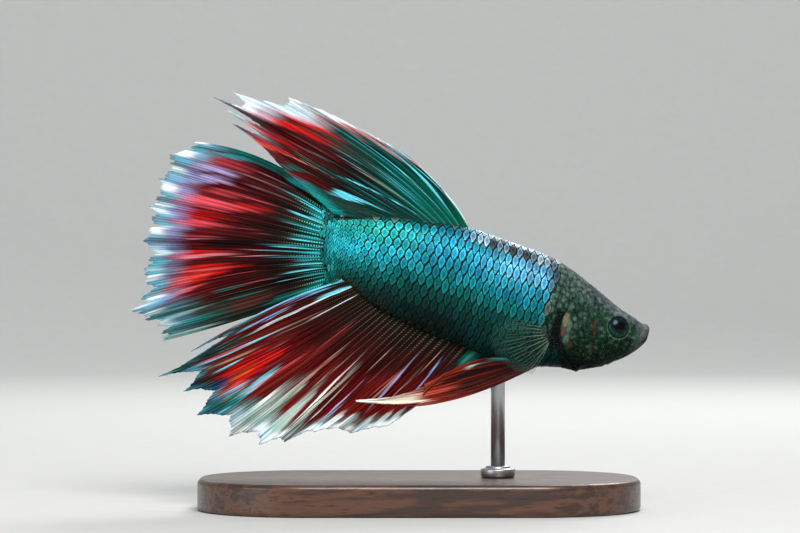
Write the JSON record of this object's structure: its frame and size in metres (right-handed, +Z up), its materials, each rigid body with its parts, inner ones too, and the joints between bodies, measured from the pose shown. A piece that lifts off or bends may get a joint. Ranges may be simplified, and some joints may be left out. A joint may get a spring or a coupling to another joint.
{
  "type": "fighting fish model on a display stand",
  "caption": "Life-size male fighting fish with long spread fins, nose slightly down, held over a rounded wooden base by a short steel rod.",
  "frame": {"origin": "centre of the coordinate frame on the underside of the stand's base, below the middle of the fish's length", "axes": "+X towards the snout, +Z up, -Y on the fish's right side; the body's middle plane is y = 0"},
  "size_m": [0.0667, 0.032, 0.053],
  "materials": {
    "scales": "iridescent turquoise scales with dark edges, moist sheen",
    "head_skin": "mottled charcoal skin, satin",
    "gill_skin": "black skin, soft sheen",
    "eye": "clear cornea over a dark iris",
    "fin": "rayed membrane in red and teal with white tips, satin",
    "clear_fin": "see-through membrane with pale rays",
    "stand_wood": "dark stained wood, satin lacquer",
    "stand_steel": "brushed"
  },
  "bodies": {
    "root": {"stand_base": "stand_wood", "stand_collar": "stand_steel", "stand_rod": "stand_steel", "head": "head_skin", "lower_jaw": "head_skin", "gill_cover_right": "head_skin", "gill_cover_left": "head_skin", "gill_skin": "gill_skin", "eye_right": "eye", "eye_left": "eye", "trunk_front": "scales", "trunk_rear": "scales", "tail_stalk": "scales", "dorsal_fin": "fin", "tail_fin": "fin", "anal_fin": "fin", "pelvic_fin_right": "fin", "pelvic_fin_left": "fin", "pectoral_fin_right": "clear_fin", "pectoral_fin_left": "clear_fin"}
  },
  "joints": []
}
